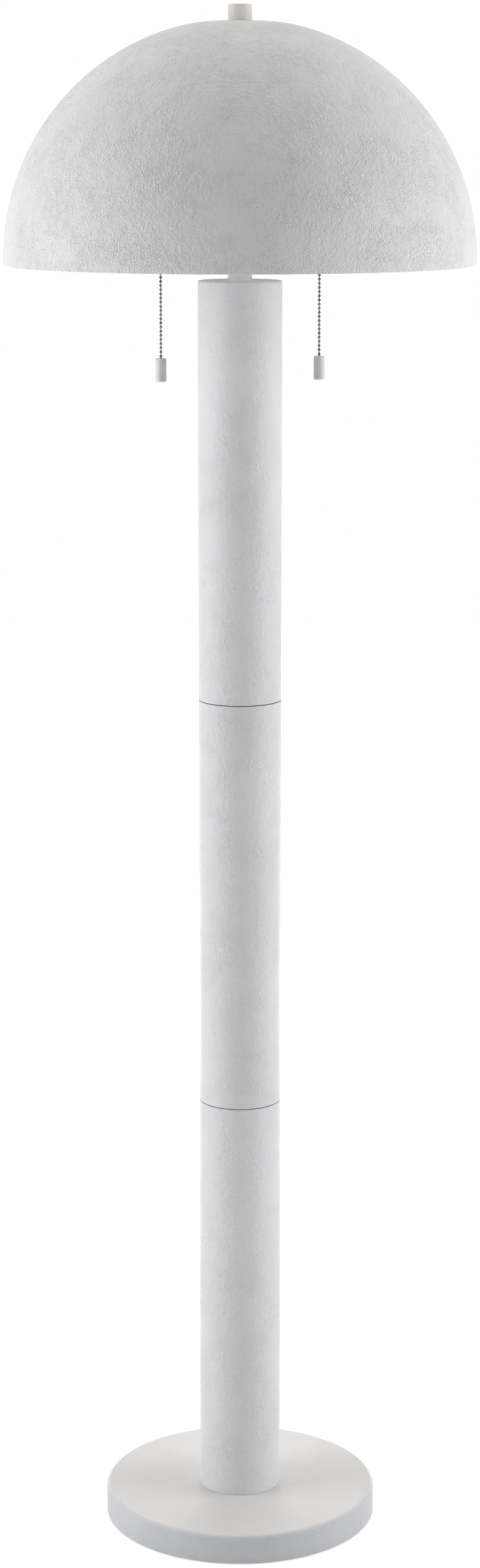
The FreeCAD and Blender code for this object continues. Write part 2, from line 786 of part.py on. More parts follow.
def make_lever(side, sign, pull_drop):
    """Hub on the pin and a forked arm under the chain's top bead, tilted up at rest."""
    reach = d.lever_arm + d.bead_radius
    hub = cylinder(f"{side}_lever_hub", lever_hub_radius, d.lever_width)
    place(hub, y=-d.lever_width / 2, turn=TOWARDS_REAR)
    arm = box(f"{side}_lever_arm", reach, d.lever_width, d.lever_thickness)
    place(arm, y=-d.lever_width / 2, z=-lever_drop - d.lever_thickness)
    joined = doc.addObject("Part::Fuse", f"{side}_lever_blank")
    joined.Base = hub
    joined.Tool = arm
    pin_hole = cylinder(f"{side}_lever_bore", d.pin_radius + d.thread_clearance, d.lever_width)
    place(pin_hole, y=-d.lever_width / 2, turn=TOWARDS_REAR)
    notch = box(f"{side}_lever_notch", d.lever_notch_depth, catch_radius * 2, d.lever_thickness)
    place(notch, x=reach - d.lever_notch_depth, y=-catch_radius, z=-lever_drop - d.lever_thickness)
    lever = cut(f"{side}_switch_lever", joined, pin_hole, notch)
    x, z = lever_pivot(sign, pull_drop)
    rest_angle = math.degrees(math.asin(lever_sine.value))
    tilt = FreeCAD.Rotation(FreeCAD.Vector(0, 1, 0), -rest_angle)
    face = UPRIGHT if side == "right" else FreeCAD.Rotation(FreeCAD.Vector(0, 0, 1), 180)
    return place(lever, x=x, z=z, turn=face.multiply(tilt))


def make_lever_fittings():
    """Each lever turns on a pin across the slot, with its return spring beside it."""
    pins = []
    springs = []
    for side, sign, pull_drop in (("right", 1, d.right_pull_drop), ("left", -1, d.left_pull_drop)):
        x, z = lever_pivot(sign, pull_drop)
        pin = cylinder(f"{side}_lever_pin", d.pin_radius, pin_length)
        pins.append(place(pin, x=x, y=-pin_length / 2, z=z, turn=TOWARDS_REAR))
        spring_length = slot_half_width - d.lever_width / 2 - d.free_clearance * 2
        spring = ring(f"{side}_lever_spring", d.pin_radius + d.spring_wall, d.pin_radius, spring_length)
        springs.append(place(spring, x=x, y=d.lever_width / 2 + d.free_clearance, z=z,
                             turn=TOWARDS_REAR))
    return [group("lever_pins", pins), group("lever_springs", springs)]


# --- Dome and finial ------------------------------------------------------------------------------

def make_dome():
    """Spun shell: a short upright skirt with a rounded rim, a spherical side and a flattened crown."""
    outer = d.dome_radius
    inner = outer - d.dome_wall
    half_wall = d.dome_wall / 2
    rim_middle = outer - half_wall
    out_share = d.crown_flat_radius / blend_drop
    up_share = blend_height / blend_drop
    blend_centre = (d.crown_flat_radius, crown_height - d.crown_round)
    side_centre = (ZERO, d.dome_skirt)
    dome = turned("dome", [
        (inner, half_wall),
        (rim_middle, ZERO, rim_middle, half_wall),
        (outer, half_wall, rim_middle, half_wall),
        (outer, d.dome_skirt),
        (outer * out_share, d.dome_skirt + outer * up_share, *side_centre),
        (d.crown_flat_radius, crown_height, *blend_centre),
        (free_bore, crown_height),
        (free_bore, crown_height - d.dome_wall),
        (d.crown_flat_radius, crown_height - d.dome_wall),
        (inner * out_share, d.dome_skirt + inner * up_share, *blend_centre),
        (inner, d.dome_skirt, *side_centre),
    ])
    seat = ring("crown_seat", d.seat_radius, threaded_bore, d.seat_thickness)
    place(dome, z=rim_level)
    return [dome, place(seat, z=crown_level - d.dome_wall - d.seat_thickness)]


def make_finial():
    washer_radius = d.finial_radius - d.finial_washer_inset
    washer = ring("finial_washer", washer_radius, free_bore, d.finial_washer_thickness)
    place(washer, z=crown_level)
    top = d.finial_height
    bore_depth = d.finial_engagement + d.finial_bore_room
    round_radius = d.finial_radius - d.finial_round
    finial = turned("finial", [
        (threaded_bore, ZERO),
        (d.finial_radius, ZERO),
        (d.finial_radius, top - d.finial_round),
        (round_radius, top, round_radius, top - d.finial_round),
        (ZERO, top),
        (ZERO, bore_depth),
        (threaded_bore, bore_depth),
    ])
    return [washer, place(finial, z=crown_level + d.finial_washer_thickness)]


# --- The lamp -------------------------------------------------------------------------------------

pieces = [make_base_cover(), make_base_weight(), make_cord_bushing()]
pieces += make_base_fittings()
pieces.append(make_column_tube("lower_tube", lower_tube_level, d.lower_tube_length, d.seam_edge_round))
pieces.append(make_column_tube("middle_tube", middle_tube_level, d.middle_tube_length, d.seam_edge_round))
pieces.append(make_column_tube("upper_tube", upper_tube_level, d.upper_tube_length, d.column_top_round))
pieces.append(make_end_plates())
pieces += make_seam_parts()
pieces += make_neck()
pieces += make_cluster()
pieces += [make_support_rod(), make_arm_nipples(), make_pipe_nuts(), make_contacts()]
for side, sign, aim, pull_drop in (("right", 1, TOWARDS_RIGHT, d.right_pull_drop),
                                   ("left", -1, TOWARDS_LEFT, d.left_pull_drop)):
    pieces += make_socket(side, sign, aim, pull_drop)
    pieces += make_bulb(side, sign, aim)
    pieces.append(make_chain_guide(side, sign))
    pieces += make_chain(side, sign, pull_drop)
    pieces.append(make_pull(side, sign, pull_drop))
    pieces.append(make_lever(side, sign, pull_drop))
pieces += make_lever_fittings()
pieces += make_dome()
pieces += make_finial()
doc.recompute()

for item in doc.Objects:
    if "Invalid" in item.State or "Error" in item.State:
        raise RuntimeError(f"{item.Label} did not build: {item.State}")
for piece in pieces:
    if piece.Shape.isNull() or not piece.Shape.isValid():
        raise RuntimeError(f"{piece.Label} has no valid shape")

os.makedirs("parts", exist_ok=True)
for piece in pieces:
    piece.Shape.exportStep(f"parts/{piece.Label}.step")
    solids = len(piece.Shape.Solids)
    print(f"{piece.Label}: {solids} solid(s), {piece.Shape.Volume:.0f} mm3")
print(f"{len(pieces)} sub-parts, crown at {crown_level.value:.1f} mm")
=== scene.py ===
import math

import bpy
from mathutils import Matrix, Vector, noise


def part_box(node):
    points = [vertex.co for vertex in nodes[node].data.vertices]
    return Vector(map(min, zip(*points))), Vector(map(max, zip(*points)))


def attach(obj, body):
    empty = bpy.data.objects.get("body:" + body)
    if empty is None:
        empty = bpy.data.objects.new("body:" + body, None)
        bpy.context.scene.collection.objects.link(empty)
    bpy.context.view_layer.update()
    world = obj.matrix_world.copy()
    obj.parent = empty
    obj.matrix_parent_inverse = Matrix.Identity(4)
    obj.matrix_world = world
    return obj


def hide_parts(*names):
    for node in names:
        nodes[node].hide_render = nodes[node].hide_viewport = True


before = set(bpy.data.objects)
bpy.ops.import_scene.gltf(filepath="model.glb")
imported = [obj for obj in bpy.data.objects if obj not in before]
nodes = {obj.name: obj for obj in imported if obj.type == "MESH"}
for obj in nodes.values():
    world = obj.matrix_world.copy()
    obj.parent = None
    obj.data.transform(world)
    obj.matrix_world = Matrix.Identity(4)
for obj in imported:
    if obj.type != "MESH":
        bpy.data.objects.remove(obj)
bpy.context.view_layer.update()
MM = 0.001
SIDES = (("left", -1), ("right", 1))


# --- Outlines and turned meshes -------------------------------------------------------------------

def arc(centre_r, centre_z, radius, start, end, step=15.0):
    """Points (r, z) on an arc, angles in degrees from the outward direction."""
    steps = max(2, math.ceil(abs(end - start) / step))
    points = []
    for index in range(steps + 1):
        angle = math.radians(start + (end - start) * index / steps)
        points.append((centre_r + radius * math.cos(angle), centre_z + radius * math.sin(angle)))
    return points


def spaced(points, spacing):
    """The closed outline with its long runs divided, and a support point near each run's ends."""
    result = []
    for a, b in zip(points, points[1:] + points[:1]):
        length = math.dist(a, b)
        result.append(a)
        if length < spacing or (a[0] == 0 and b[0] == 0):
            continue
        support = min(0.4 * MM, spacing / 3)
        inner = max(1, math.ceil((length - 2 * support) / spacing))
        shares = [support + (length - 2 * support) * k / inner for k in range(inner + 1)]
        result += [(a[0] + (b[0] - a[0]) * s / length, a[1] + (b[1] - a[1]) * s / length)
                   for s in shares]
    return result


def rounded(corners):
    """A closed outline through corners (r, z, rounding); each rounding becomes an arc."""
    result = []
    count = len(corners)
    for index, (r, z, size) in enumerate(corners):
        here = Vector((r, z))
        if not size:
            result.append((r, z))
            continue
        back = (Vector(corners[index - 1][:2]) - here).normalized()
        ahead = (Vector(corners[(index + 1) % count][:2]) - here).normalized()
        half = back.angle(ahead) / 2
        centre = here + (back + ahead).normalized() * (size / math.sin(half))
        start = here + back * (size / math.tan(half)) - centre
        end = here + ahead * (size / math.tan(half)) - centre
        turn = start.angle(end)
        steps = max(3, math.ceil(math.degrees(turn) / 15))
        for step in range(steps + 1):
            share = step / steps
            from_start = start * math.sin((1 - share) * turn)
            from_end = end * math.sin(share * turn)
            result.append(tuple(centre + (from_start + from_end) / math.sin(turn)))
    return result


def uneven(size, *waves):
    """A relief: size in metres of each wave, with its frequency per metre."""
    def relief(point):
        return sum(size * share * noise.noise(point * pitch) for share, pitch in waves)
    return relief


def lathe(name, outline, segments, relief=None, turn=Matrix.Identity(4), thread=None):
    """Turns a closed (r, z) outline about Z. A point with r = 0 is a pole. relief(point) lifts the
    surface, and thread(z, angle) lowers the radius."""
    area = sum(a[0] * b[1] - b[0] * a[1] for a, b in zip(outline, outline[1:] + outline[:1]))
    if area < 0:
        outline = outline[::-1]
    count = len(outline)
    verts = []
    first = []
    for index, (r, z) in enumerate(outline):
        first.append(len(verts))
        if r == 0:
            verts.append(Vector((0, 0, z)))
            continue
        before, after = outline[index - 1], outline[(index + 1) % count]
        run = Vector((after[0] - before[0], after[1] - before[1])).normalized()
        for spoke in range(segments):
            angle = 2 * math.pi * spoke / segments
            out = Vector((math.cos(angle), math.sin(angle), 0))
            point = out * r + Vector((0, 0, z))
            if thread:
                point -= out * thread(z, angle)
            if relief:
                point += (out * run.y + Vector((0, 0, -run.x))) * relief(point)
            verts.append(point)
    faces = []
    for index in range(count):
        a, b = index, (index + 1) % count
        if outline[a][0] == 0 and outline[b][0] == 0:
            continue
        for spoke in range(segments):
            following = (spoke + 1) % segments
            if outline[a][0] == 0:
                faces.append((first[a], first[b] + following, first[b] + spoke))
            elif outline[b][0] == 0:
                faces.append((first[a] + spoke, first[a] + following, first[b]))
            else:
                faces.append((first[a] + spoke, first[a] + following,
                              first[b] + following, first[b] + spoke))
    return piece(name, [turn @ v for v in verts], faces)


def piece(name, verts, faces):
    mesh = bpy.data.meshes.new(name)
    mesh.from_pydata([tuple(v) for v in verts], [], faces)
    mesh.shade_smooth()
    made = bpy.data.objects.new(name, mesh)
    bpy.context.scene.collection.objects.link(made)
    return made


def finished(made, body, material, replaced):
    """Puts a new piece in the frame: body, finish and the CAD node that it stands for."""
    made.data.materials.clear()
    made.data.materials.append(material)
    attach(made, body)
    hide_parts(replaced)


# --- Materials ------------------------------------------------------------------------------------

class Finish:
    """One material: a Principled shader and the nodes that feed it."""

    def __init__(self, name, **sockets):
        self.material = bpy.data.materials.new(name)
        self.material.use_nodes = True
        self.tree = self.material.node_tree
        self.shader = self.tree.nodes["Principled BSDF"]
        self.place = self.add("ShaderNodeTexCoord").outputs["Object"]
        for socket, value in sockets.items():
            label = socket.replace("_", " ").title().replace("Ior", "IOR")
            self.shader.inputs[label].default_value = value

    def add(self, kind, inputs=(), **settings):
        made = self.tree.nodes.new(kind)
        for key, value in settings.items():
            setattr(made, key, value)
        for key, value in dict(inputs).items():
            if isinstance(value, bpy.types.NodeSocket):
                self.tree.links.new(value, made.inputs[key])
            else:
                made.inputs[key].default_value = value
        return made

    def math(self, operation, *values):
        return self.add("ShaderNodeMath", enumerate(values), operation=operation).outputs[0]

    def noise(self, scale, detail=2.0, vector=None):
        inputs = {"Vector": vector or self.place, "Scale": scale, "Detail": detail}
        return self.add("ShaderNodeTexNoise", inputs).outputs["Fac"]

    def cells(self, scale):
        inputs = {"Vector": self.place, "Scale": scale}
        return self.add("ShaderNodeTexVoronoi", inputs).outputs["Distance"]

    def stretched(self, rotation, scale, vector=None):
        inputs = {"Vector": vector or self.place, "Scale": scale,
                  "Rotation": [math.radians(angle) for angle in rotation]}
        return self.add("ShaderNodeMapping", inputs, vector_type="TEXTURE").outputs[0]

    def drifted(self, scale, amount):
        """Object coordinates pushed about by a slow noise, so that what follows them flows."""
        inputs = {"Vector": self.place, "Scale": scale, "Detail": 1.0}
        drift = self.add("ShaderNodeTexNoise", inputs)
        offset = self.add("ShaderNodeVectorMath", {0: drift.outputs["Color"], 1: (0.5, 0.5, 0.5)},
                          operation="SUBTRACT").outputs[0]
        inputs = {0: offset, 1: (amount, amount, amount), 2: self.place}
        return self.add("ShaderNodeVectorMath", inputs, operation="MULTIPLY_ADD").outputs[0]

    def ranged(self, value, low, high, out_low=0.0, out_high=1.0):
        inputs = {"Value": value, "From Min": low, "From Max": high, "To Min": out_low,
                  "To Max": out_high}
        made = self.add("ShaderNodeMapRange", inputs, interpolation_type="SMOOTHSTEP")
        return made.outputs["Result"]

    def blended(self, share, first, second):
        made = self.add("ShaderNodeMix", data_type="RGBA")
        for index, value in ((0, share), (6, first), (7, second)):
            if isinstance(value, bpy.types.NodeSocket):
                self.tree.links.new(value, made.inputs[index])
            else:
                made.inputs[index].default_value = value
        return made.outputs[2]

    def set(self, socket, value):
        self.tree.links.new(value, self.shader.inputs[socket])

    def bump(self, height, distance):
        inputs = {"Height": height, "Distance": distance, "Strength": 1.0}
        self.set("Normal", self.add("ShaderNodeBump", inputs).outputs["Normal"])


def tone(red, green, blue):
    """A colour given as it shows on a screen, 0 to 255."""
    def linear(value):
        value = value / 255
        return value / 12.92 if value <= 0.04045 else ((value + 0.055) / 1.055) ** 2.4
    return (linear(red), linear(green), linear(blue), 1.0)


# Each field of ridges: angle in degrees, stretch along it, scale, and scale of its breaks.
VEIN_FIELDS = ((35, 1.8, 430, 110), (-50, 1.6, 470, 125), (85, 1.6, 450, 95))


def plaster_paint(name, color, ridges=1.0, grain=1.0, coarseness=1.0, side=None):
    """White paint with the low relief of trowelled plaster: short wandering ridges in patches, a
    fine grain and a few pin holes with painted shade in them. With a side colour, upright faces
    take that colour as painted shade, and faces that look up are smoother."""
    f = Finish(name, base_color=color, roughness=0.62, specular_ior_level=0.35)
    flow = f.drifted(45.0, 0.008)
    fine = 1 / coarseness
    patches = f.ranged(f.noise(26.0, 3.0), 0.36, 0.60, 0.5, 1.0)
    veins = None
    for angle, stretch, scale, breaks in VEIN_FIELDS:
        along = f.stretched((0, angle, 10), (1, 1, stretch), flow)
        distance = f.math("ABSOLUTE", f.math("SUBTRACT", f.noise(scale * fine, 0.0, along), 0.5))
        vein = f.ranged(distance, 0.13, 0.0)
        vein = f.math("MULTIPLY", vein, f.ranged(f.noise(breaks * fine, 1.0), 0.46, 0.60))
        veins = vein if veins is None else f.math("MAXIMUM", veins, vein)
    height = f.math("MULTIPLY_ADD", veins, 0.40, f.noise(780.0 * fine, 0.0, flow))
    height = f.math("MULTIPLY", height, patches)
    height = f.math("MULTIPLY_ADD", f.noise(240.0 * fine, 1.0), 0.9, height)
    height = f.math("MULTIPLY", height, ridges)
    if side:
        face = f.add("ShaderNodeSeparateXYZ", {0: f.add("ShaderNodeNewGeometry").outputs["Normal"]})
        upright = f.ranged(face.outputs["Z"], 0.95, 0.6)
        height = f.math("MULTIPLY", height, f.math("MULTIPLY_ADD", upright, 0.8, 0.2))
    powder = f.noise(1500.0 * fine, 1.0)
    height = f.math("MULTIPLY_ADD", powder, 0.12 * grain, height)
    holes = f.ranged(f.cells(95.0 * fine), 0.055, 0.02)
    holes = f.math("MULTIPLY", holes, f.ranged(f.noise(60.0), 0.56, 0.60))
    height = f.math("MULTIPLY_ADD", holes, -0.6, height)
    f.bump(height, 0.00076 * coarseness)
    shade = f.ranged(f.noise(16.0, 3.0), 0.35, 0.65)
    darker = [channel * 0.955 for channel in color[:3]] + [1.0]
    paint = f.blended(shade, darker, color)
    # Upright faces take the side colour: painted shade on the sides.
    if side:
        paint = f.blended(upright, paint, side)
    # The pin holes take a darker grey: painted shade in the pits.
    f.set("Base Color", f.blended(holes, paint, tone(150, 146, 140)))
    f.set("Roughness", f.ranged(powder, 0.3, 0.7, 0.56, 0.68))
    return f.material


def plain_paint(name, color):
    """Smooth satin paint with a slight orange peel."""
    f = Finish(name, base_color=color, roughness=0.45, specular_ior_level=0.4)
    f.bump(f.noise(520.0, 2.0), 0.00003)
    f.set("Base Color", f.blended(f.noise(40.0, 2.0), color, [c * 0.96 for c in color[:3]] + [1.0]))
    f.set("Roughness", f.ranged(f.noise(90.0, 2.0), 0.3, 0.7, 0.38, 0.5))
    return f.material


def metal(name, color, roughness, dull, scratches=0.4, mottle=120.0):
    """Plated or bare metal: faint scratches, and duller patches of the second colour."""
    f = Finish(name, metallic=1.0, base_color=color)
    lines = f.noise(900.0, 2.0, f.stretched((12, 25, 0), (1, 14, 1)))
    patches = f.ranged(f.noise(mottle, 3.0), 0.4, 0.7)
    f.bump(lines, 0.00001 * scratches)
    f.set("Base Color", f.blended(patches, color, dull))
    f.set("Roughness", f.ranged(f.math("ADD", lines, f.noise(mottle * 2, 2.0)), 0.7, 1.3,
                                roughness * 0.75, roughness * 1.35))
    return f.material


def cast_iron():
    f = Finish("cast_iron_skin", base_color=tone(62, 60, 58), roughness=0.75, metallic=0.5)
    sand = f.noise(900.0, 3.0)
    f.bump(f.math("ADD", sand, f.noise(120.0, 2.0)), 0.0002)
    rust = f.ranged(f.noise(70.0, 4.0), 0.55, 0.75)
    f.set("Base Color", f.blended(rust, tone(62, 60, 58), tone(92, 66, 48)))
    f.set("Roughness", f.ranged(sand, 0.3, 0.7, 0.65, 0.85))
    return f.material


def felt():
    f = Finish("felt_fibres", base_color=tone(58, 60, 62), roughness=0.95, sheen_weight=0.3)
    hairs = f.noise(1500.0, 3.0, f.stretched((0, 0, 30), (1, 5, 1)))
    crossed = f.noise(1300.0, 3.0, f.stretched((0, 0, -50), (1, 5, 1)))
    weave = f.math("ADD", hairs, crossed)
    f.bump(weave, 0.0003)
    f.set("Base Color", f.blended(f.ranged(weave, 0.8, 1.2), tone(44, 46, 48), tone(78, 80, 82)))
    return f.material


def moulded(name, color, roughness, other, grain=1100.0, depth=0.00002, **sockets):
    """Rubber, moulded plastic or phenolic: a fine even grain and slightly uneven gloss."""
    f = Finish(name, base_color=color, roughness=roughness, **sockets)
    skin = f.noise(grain, 2.0)
    f.bump(skin, depth)
    f.set("Base Color", f.blended(f.ranged(f.noise(55.0, 3.0), 0.35, 0.7), color, other))
    f.set("Roughness", f.ranged(f.math("ADD", skin, f.noise(60.0, 2.0)), 0.7, 1.3,
                                roughness * 0.85, roughness * 1.15))
    return f.material


def fibre():
    f = Finish("pressed_fibre", base_color=tone(92, 78, 66), roughness=0.8)
    strands = f.noise(800.0, 4.0, f.stretched((0, 0, 20), (4, 1, 1)))
    f.bump(strands, 0.00006)
    share = f.ranged(strands, 0.35, 0.65)
    f.set("Base Color", f.blended(share, tone(80, 66, 56), tone(112, 96, 82)))
    return f.material


# One white paint in four tones: the tubes' cooler grey, the base's warm top and darker side colour,
# and the finial's lighter warm tone are painted light and shade.
plaster = plaster_paint("plaster_paint", tone(222, 221, 222))
tube_plaster = plaster_paint("plaster_paint_tubes", tone(214, 214, 216), ridges=0.6)
base_plaster = plaster_paint("plaster_paint_base", tone(214, 212, 210), ridges=0.6, grain=1.6,
                             coarseness=0.8, side=tone(198, 199, 202))
finial_plaster = plaster_paint("plaster_paint_finial", tone(240, 235, 230), ridges=0.45, grain=1.2,
                               coarseness=1.3)
# A smooth white enamel, its light tone partly painted light for the parts in the dome's shade.
neck = plain_paint("neck_enamel", tone(236, 236, 236))
nickel = metal("nickel_plate", tone(196, 192, 184), 0.22, tone(168, 162, 152))
chain_nickel = metal("chain_nickel", tone(128, 126, 122), 0.30, tone(98, 96, 92))
brass = metal("lamp_brass", tone(206, 170, 104), 0.28, tone(170, 134, 78))
zinc = metal("zinc_steel", tone(176, 178, 180), 0.38, tone(148, 150, 152), scratches=0.8,
             mottle=320.0)
# Zinc darkened as painted shadow, for the washers in the seam and finial gaps.
zinc_painted_shadow = metal("zinc_painted_shadow", tone(58, 54, 50), 0.45, tone(44, 41, 38), scratches=0.8,
                  mottle=320.0)
iron = cast_iron()
felted = felt()
rubber = moulded("soft_rubber", tone(34, 34, 35), 0.6, tone(46, 46, 47), grain=900.0,
                 depth=0.00003)
phenolic = moulded("phenolic", tone(38, 30, 27), 0.3, tone(52, 42, 36), coat_weight=0.2)
white_plastic = moulded("white_plastic", tone(208, 208, 209), 0.5, tone(201, 201, 202),
                        grain=1400.0, depth=0.00001)
opal = moulded("opal_glass", tone(236, 235, 232), 0.12, tone(230, 229, 226), grain=200.0,
               depth=0.000004, subsurface_weight=0.25, coat_weight=0.4)
fibrous = fibre()

# The finish of each CAD node that keeps its own mesh.
KEPT = {
    "base_weight": iron, "cord_bushing": rubber, "base_washer": zinc, "base_nipple": zinc,
    "tube_end_plates": zinc, "seam_discs": zinc_painted_shadow, "joint_nipples": zinc,
    "riser_sleeve": neck, "riser_pipe": zinc, "cluster_body": neck, "cluster_cap": neck,
    "support_rod": zinc, "arm_nipples": zinc, "pipe_nuts": zinc, "centre_contacts": brass,
    "lever_pins": zinc, "lever_springs": zinc, "crown_seat": zinc, "finial_washer": zinc_painted_shadow,
}
for side, _ in SIDES:
    KEPT.update({
        f"{side}_socket_cap": nickel, f"{side}_socket_liner": fibrous,
        f"{side}_switch_body": phenolic, f"{side}_chain_guide": nickel,
        f"{side}_bulb_tip": nickel, f"{side}_switch_lever": zinc,
    })
for name, material in KEPT.items():
    nodes[name].data.materials.clear()
    nodes[name].data.materials.append(material)


# --- Column, base, dome and finial ----------------------------------------------------------------

PIPE_BORE = 5.3 * MM    # the free hole for a threaded pipe in a cover, plate or collar
TOP_RISE = 4 * MM       # how far the visible column stands above the CAD's, as photographed
SHEET_RELIEF = uneven(0.06 * MM, (1.0, 24.0), (0.6, 58.0))


def span(name):
    """A node's lowest and highest level."""
    low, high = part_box(name)
    return low.z, high.z


def make_tubes():
    radius = 41 * MM
    inner = 39.5 * MM
    top_wall = 3 * MM
    for name, top_round in (("lower_tube", 0.4), ("middle_tube", 0.4), ("upper_tube", 1.8)):
        low, high = span(name)
        if name == "upper_tube":
            high += TOP_RISE
        outline = rounded([
            (inner, low, 0),
            (radius, low, 0.4 * MM),
            (radius, high, top_round * MM),
            (PIPE_BORE, high, 0),
            (PIPE_BORE, high - top_wall, 0),
            (inner, high - top_wall, 0),
        ])
        tube = lathe(name + "_shell", spaced(outline, 4 * MM), 160, SHEET_RELIEF)
        finished(tube, "stand", tube_plaster, name)


def make_collar():
    """Three stacked rings with fine grooves between them, and a shoulder in to the sleeve."""
    low, high = span("neck_collar")
    rings = (12.1 * MM, 11.75 * MM, 11.4 * MM)
    grooves = (11.2 * MM, 10.9 * MM)
    ring_height, groove_height = 2.4 * MM, 0.4 * MM
    shoulder, sleeve_radius = 1.5 * MM, 7.0 * MM
    level = low + TOP_RISE
    corners = [(PIPE_BORE, low, 0), (rings[0], low, 0)]
    for ring, groove, ring_above in zip(rings, grooves, rings[1:]):
        level += ring_height
        corners += [(ring, level, 0.3 * MM), (groove, level, 0)]
        level += groove_height
        corners += [(groove, level, 0), (ring_above, level, 0.2 * MM)]
    corners += [
        (rings[-1], high - shoulder, 0.8 * MM),
        (sleeve_radius, high, 0.3 * MM),
        (PIPE_BORE, high, 0),
    ]
    collar = lathe("neck_collar_rings", spaced(rounded(corners), 1.5 * MM), 96)
    finished(collar, "stand", neck, "neck_collar")


def make_felt():
    """The pad underneath, with slack cut edges and a slightly uneven nap."""
    low, high = span("base_pad")
    hole, radius = 20 * MM, 132.5 * MM
    outline = rounded([
        (hole, low, 0.5 * MM),
        (radius, low, 0.6 * MM),
        (radius, high, 0.2 * MM),
        (hole, high, 0.2 * MM),
    ])
    nap = uneven(0.05 * MM, (1.0, 60.0), (0.8, 260.0))
    pad = lathe("felt_ring", spaced(outline, 2.5 * MM), 240, nap)
    finished(pad, "stand", felted, "base_pad")


def make_base():
    """The spun cover, with the bushing's hole cut through its rear wall."""
    low, high = span("base_cover")
    radius = 137.5 * MM
    wall = 1.5 * MM
    edge = 3.5 * MM
    cord_hole = 5.2 * MM
    drill_reach = 8 * MM
    outline = rounded([
        (radius - wall, low, 0),
        (radius, low, 0.3 * MM),
        (radius, high, edge),
        (PIPE_BORE, high, 0),
        (PIPE_BORE, high - wall, 0),
        (radius - wall, high - wall, edge - wall),
    ])
    cover = lathe("base_shell", spaced(outline, 4 * MM), 240, SHEET_RELIEF)
    bushing_low, bushing_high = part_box("cord_bushing")
    level = (bushing_low.z + bushing_high.z) / 2
    drill_outline = [(0, -drill_reach), (cord_hole, -drill_reach), (cord_hole, drill_reach),
                     (0, drill_reach)]
    rearwards = Matrix.Translation((0, radius, level)) @ Matrix.Rotation(math.pi / 2, 4, "X")
    drill = lathe("cord_hole", drill_outline, 48, turn=rearwards)
    cutter = cover.modifiers.new("cord_hole", "BOOLEAN")
    cutter.object = drill
    cutter.operation = "DIFFERENCE"
    cutter.solver = "EXACT"
    graph = bpy.context.evaluated_depsgraph_get()
    cover.data = bpy.data.meshes.new_from_object(cover.evaluated_get(graph))
    cover.modifiers.clear()
    bpy.data.objects.remove(drill)
    finished(cover, "stand", base_plaster, "base_cover")


def make_dome():
    """One thin wall: an upright skirt with a rounded edge, a hemisphere and a flatter crown."""
    low, high = span("dome")
    outer, wall, skirt = 228.6 * MM, 1.2 * MM, 5 * MM
    flat, crown_round = 19 * MM, 165 * MM
    inner = outer - wall
    lean = math.degrees(math.acos(flat / (outer - crown_round)))
    middle = low + skirt
    rim = arc(outer - wall / 2, low + wall / 2, wall / 2, 180, 360)
    outline = rim + arc(0, middle, outer, 0, lean, 1.0)
    outline += arc(flat, high - crown_round, crown_round, lean, 90, 1.0)[1:]
    outline += [(PIPE_BORE, high), (PIPE_BORE, high - wall)]
    outline += arc(flat, high - crown_round, crown_round - wall, 90, lean, 1.0)
    outline += arc(0, middle, inner, lean, 0, 1.0)[1:]
    dome = lathe("dome_shade", spaced(outline, 5 * MM), 320, SHEET_RELIEF)
    finished(dome, "stand", plaster, "dome")


def make_finial():
    low, high = span("finial")
    radius = 11.65 * MM
    bore = 5.05 * MM
    depth = 11 * MM
    outline = rounded([
        (bore, low, 0),
        (radius, low, 0.35 * MM),
        (radius, high, 1.2 * MM),
        (0, high, 0),
        (0, low + depth, 0),
        (bore, low + depth, 0),
    ])
    lumpy = uneven(0.09 * MM, (1.0, 170.0), (0.5, 420.0))
    knob = lathe("finial_knob", spaced(outline, 0.8 * MM), 128, lumpy)
    finished(knob, "finial_head", finial_plaster, "finial")


# --- Chains and pulls -----------------------------------------------------------------------------

BEAD = 1.5 * MM    # a bead's radius
PITCH = 4 * MM
LINK = 0.45 * MM   # a link's radius
LIP = 0.68 * MM    # the radius of the hole through which a link enters a bead
TUCK = 0.25 * MM   # how deep the link's visible end lies inside that hole


def make_chain_run(name, body):
    """A run of hollow beads on links; each link enters a bead through a small hole."""
    low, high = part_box(name)
    x = (low.x + high.x) / 2
    top = high.z - BEAD
    beads = int(round((high.z - low.z - 2 * BEAD) / PITCH - 0.2)) + 1
    lip_height = math.sqrt(BEAD ** 2 - LIP ** 2)
    lean = math.degrees(math.asin(lip_height / BEAD))
    socket = lip_height - TUCK
    tip = 0.1 * MM
    outline = [(0, top + socket), (LINK, top + socket)]
    for index in range(beads):
        centre = top - index * PITCH
        outline += arc(0, centre, BEAD, lean, -lean, 12)
        outline.append((LINK, centre - socket))
        if index < beads - 1:
            outline += [(LINK, centre - PITCH / 2), (LINK, centre - PITCH + socket)]
        elif low.z < centre - BEAD - tip:
            outline += [(LINK, low.z + tip), (LINK * 0.7, low.z), (0, low.z)]
        else:
            outline.append((0, centre - socket))
    run = lathe(name + "_beads", outline, 28, turn=Matrix.Translation((x, 0, 0)))
    finished(run, body, chain_nickel, name)


